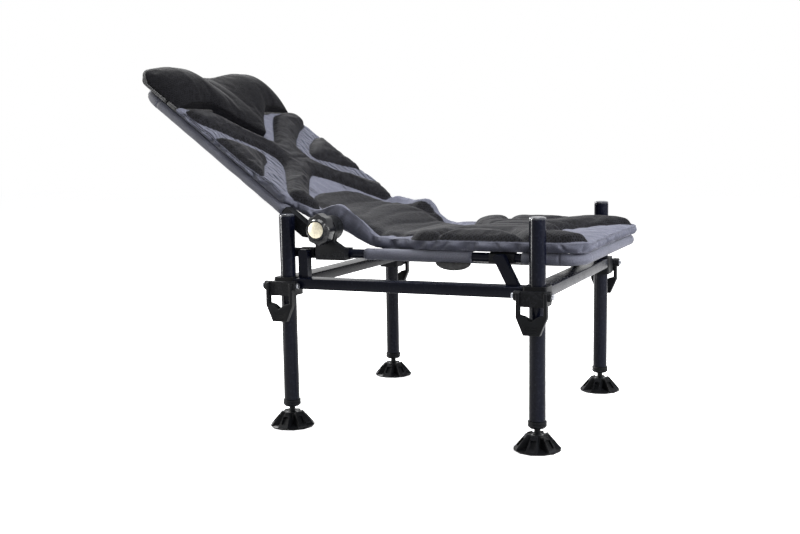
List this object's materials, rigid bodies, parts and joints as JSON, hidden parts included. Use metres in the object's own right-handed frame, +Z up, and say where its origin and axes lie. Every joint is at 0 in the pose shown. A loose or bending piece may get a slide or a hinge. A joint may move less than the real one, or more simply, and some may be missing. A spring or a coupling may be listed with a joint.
{
  "type": "reclining fishing chair",
  "caption": "Low padded fishing chair with a reclining back on two locking knobs, cam-locked sliding legs and swivelling mud feet.",
  "frame": {"origin": "on the floor, under the middle of the chair's overall box", "axes": "+Z up; the sitter faces -Y; +X is the sitter's left"},
  "size_m": [0.588, 0.9374, 0.7188],
  "materials": {
    "painted_steel": "satin dark powder coat",
    "bolt_steel": "zinc plated",
    "moulding": "fine matt moulding",
    "cap_moulding": "satin moulding",
    "knob_disc": "satin",
    "sleeve_cloth": "woven polyester",
    "pad_cloth": "padded woven polyester",
    "mesh_cloth": "open air mesh",
    "tab_cloth": "webbing"
  },
  "bodies": {
    "base": {"front_rail": "painted_steel", "rear_rail": "painted_steel", "side_rail_left": "painted_steel", "side_rail_right": "painted_steel", "seat_frame_tube": "painted_steel", "collar_front_left": "moulding", "lever_bolt_front_left": "bolt_steel", "collar_front_right": "moulding", "lever_bolt_front_right": "bolt_steel", "collar_rear_left": "moulding", "lever_bolt_rear_left": "bolt_steel", "collar_rear_right": "moulding", "lever_bolt_rear_right": "bolt_steel", "saddle_front_left": "moulding", "saddle_rear_left": "moulding", "hinge_bracket_left": "moulding", "pivot_bolt_left": "bolt_steel", "saddle_front_right": "moulding", "saddle_rear_right": "moulding", "hinge_bracket_right": "moulding", "pivot_bolt_right": "bolt_steel", "seat_sling": "sleeve_cloth", "seat_cushion": "pad_cloth", "cushion_fold": "pad_cloth", "sleeve_tab": "tab_cloth"},
    "backrest": {"back_frame_tube": "painted_steel", "back_arm_left": "moulding", "back_arm_right": "moulding", "back_sling": "sleeve_cloth", "back_cushion": "pad_cloth", "headrest": "mesh_cloth"},
    "knob_left": {"knob_left": "moulding", "knob_disc_left": "knob_disc"},
    "knob_right": {"knob_right": "moulding", "knob_disc_right": "knob_disc"},
    "leg_front_left": {"leg_tube_front_left": "painted_steel", "leg_cap_front_left": "cap_moulding", "ball_stud_front_left": "moulding"},
    "lever_front_left": {"lever_front_left": "moulding"},
    "foot_cup_front_left": {"foot_cup_front_left": "cap_moulding"},
    "foot_front_left": {"foot_front_left": "moulding"},
    "leg_front_right": {"leg_tube_front_right": "painted_steel", "leg_cap_front_right": "cap_moulding", "ball_stud_front_right": "moulding"},
    "lever_front_right": {"lever_front_right": "moulding"},
    "foot_cup_front_right": {"foot_cup_front_right": "cap_moulding"},
    "foot_front_right": {"foot_front_right": "moulding"},
    "leg_rear_left": {"leg_tube_rear_left": "painted_steel", "leg_cap_rear_left": "cap_moulding", "ball_stud_rear_left": "moulding"},
    "lever_rear_left": {"lever_rear_left": "moulding"},
    "foot_cup_rear_left": {"foot_cup_rear_left": "cap_moulding"},
    "foot_rear_left": {"foot_rear_left": "moulding"},
    "leg_rear_right": {"leg_tube_rear_right": "painted_steel", "leg_cap_rear_right": "cap_moulding", "ball_stud_rear_right": "moulding"},
    "lever_rear_right": {"lever_rear_right": "moulding"},
    "foot_cup_rear_right": {"foot_cup_rear_right": "cap_moulding"},
    "foot_rear_right": {"foot_rear_right": "moulding"}
  },
  "joints": [
    {"name": "backrest_recline", "type": "hinge", "parent": "base", "child": "backrest", "pos_m": [0, 0.04029, 0.391], "axis": [1, 0, 0], "range_deg": [-22, 128], "deforming": ["cushion_fold"]},
    {"name": "knob_left_turn", "type": "hinge", "parent": "base", "child": "knob_left", "pos_m": [0.2652, 0.04029, 0.391], "axis": [1, 0, 0], "continuous": true},
    {"name": "knob_right_turn", "type": "hinge", "parent": "base", "child": "knob_right", "pos_m": [-0.2652, 0.04029, 0.391], "axis": [-1, 0, 0], "continuous": true},
    {"name": "leg_front_left_slide", "type": "slide", "parent": "base", "child": "leg_front_left", "axis": [0, 0, 1], "range_m": [-0.11, 0.165]},
    {"name": "lever_front_left_swing", "type": "hinge", "parent": "base", "child": "lever_front_left", "pos_m": [0.28, -0.38071, 0.283], "axis": [0, -1, 0], "range_deg": [0, 110]},
    {"name": "foot_front_left_roll", "type": "hinge", "parent": "leg_front_left", "child": "foot_cup_front_left", "pos_m": [0.25, -0.38071, 0.023], "axis": [1, 0, 0], "range_deg": [-15, 15]},
    {"name": "foot_front_left_pitch", "type": "hinge", "parent": "foot_cup_front_left", "child": "foot_front_left", "pos_m": [0.25, -0.38071, 0.023], "axis": [0, 1, 0], "range_deg": [-15, 15]},
    {"name": "leg_front_right_slide", "type": "slide", "parent": "base", "child": "leg_front_right", "axis": [0, 0, 1], "range_m": [-0.11, 0.165]},
    {"name": "lever_front_right_swing", "type": "hinge", "parent": "base", "child": "lever_front_right", "pos_m": [-0.28, -0.38071, 0.283], "axis": [0, 1, 0], "range_deg": [0, 110]},
    {"name": "foot_front_right_roll", "type": "hinge", "parent": "leg_front_right", "child": "foot_cup_front_right", "pos_m": [-0.25, -0.38071, 0.023], "axis": [1, 0, 0], "range_deg": [-15, 15]},
    {"name": "foot_front_right_pitch", "type": "hinge", "parent": "foot_cup_front_right", "child": "foot_front_right", "pos_m": [-0.25, -0.38071, 0.023], "axis": [0, 1, 0], "range_deg": [-15, 15]},
    {"name": "leg_rear_left_slide", "type": "slide", "parent": "base", "child": "leg_rear_left", "axis": [0, 0, 1], "range_m": [-0.11, 0.165]},
    {"name": "lever_rear_left_swing", "type": "hinge", "parent": "base", "child": "lever_rear_left", "pos_m": [0.28, 0.11929, 0.283], "axis": [0, -1, 0], "range_deg": [0, 110]},
    {"name": "foot_rear_left_roll", "type": "hinge", "parent": "leg_rear_left", "child": "foot_cup_rear_left", "pos_m": [0.25, 0.11929, 0.023], "axis": [1, 0, 0], "range_deg": [-15, 15]},
    {"name": "foot_rear_left_pitch", "type": "hinge", "parent": "foot_cup_rear_left", "child": "foot_rear_left", "pos_m": [0.25, 0.11929, 0.023], "axis": [0, 1, 0], "range_deg": [-15, 15]},
    {"name": "leg_rear_right_slide", "type": "slide", "parent": "base", "child": "leg_rear_right", "axis": [0, 0, 1], "range_m": [-0.11, 0.165]},
    {"name": "lever_rear_right_swing", "type": "hinge", "parent": "base", "child": "lever_rear_right", "pos_m": [-0.28, 0.11929, 0.283], "axis": [0, 1, 0], "range_deg": [0, 110]},
    {"name": "foot_rear_right_roll", "type": "hinge", "parent": "leg_rear_right", "child": "foot_cup_rear_right", "pos_m": [-0.25, 0.11929, 0.023], "axis": [1, 0, 0], "range_deg": [-15, 15]},
    {"name": "foot_rear_right_pitch", "type": "hinge", "parent": "foot_cup_rear_right", "child": "foot_rear_right", "pos_m": [-0.25, 0.11929, 0.023], "axis": [0, 1, 0], "range_deg": [-15, 15]}
  ]
}
